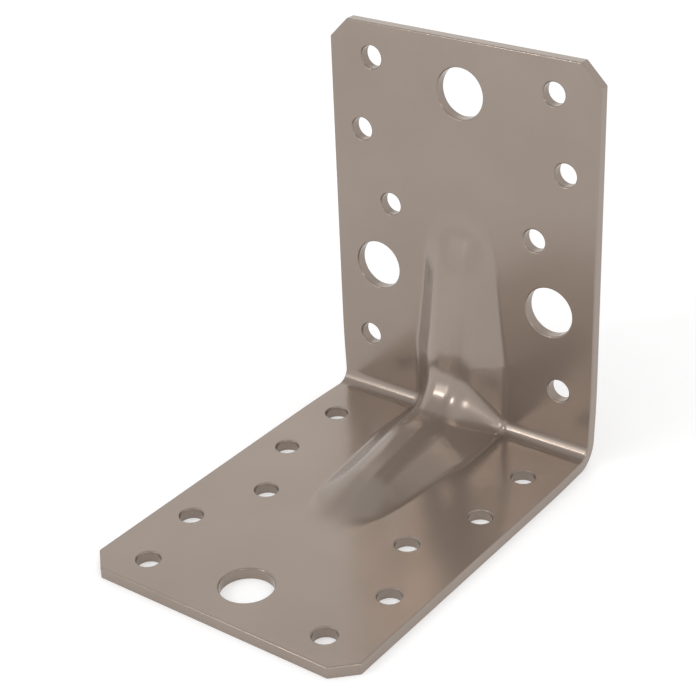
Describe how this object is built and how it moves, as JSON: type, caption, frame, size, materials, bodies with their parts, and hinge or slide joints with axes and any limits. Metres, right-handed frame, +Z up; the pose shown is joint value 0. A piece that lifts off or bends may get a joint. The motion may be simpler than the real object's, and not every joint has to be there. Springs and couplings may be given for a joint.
{
  "type": "corner brace bracket",
  "caption": "Folded sheet-metal angle bracket with a pressed stiffening rib through the fold, nail and bolt holes in both legs and cut corners.",
  "frame": {"origin": "middle of the underside, halfway along the base leg and halfway across the strip", "axes": "+X across the strip, +Y towards the back of the wall leg, +Z up the wall leg"},
  "size_m": [0.065, 0.09, 0.09],
  "materials": {
    "sheet": "satin warm grey-brown coating over pressed sheet steel"
  },
  "bodies": {
    "root": {"corner_bracket": "sheet"}
  },
  "joints": []
}
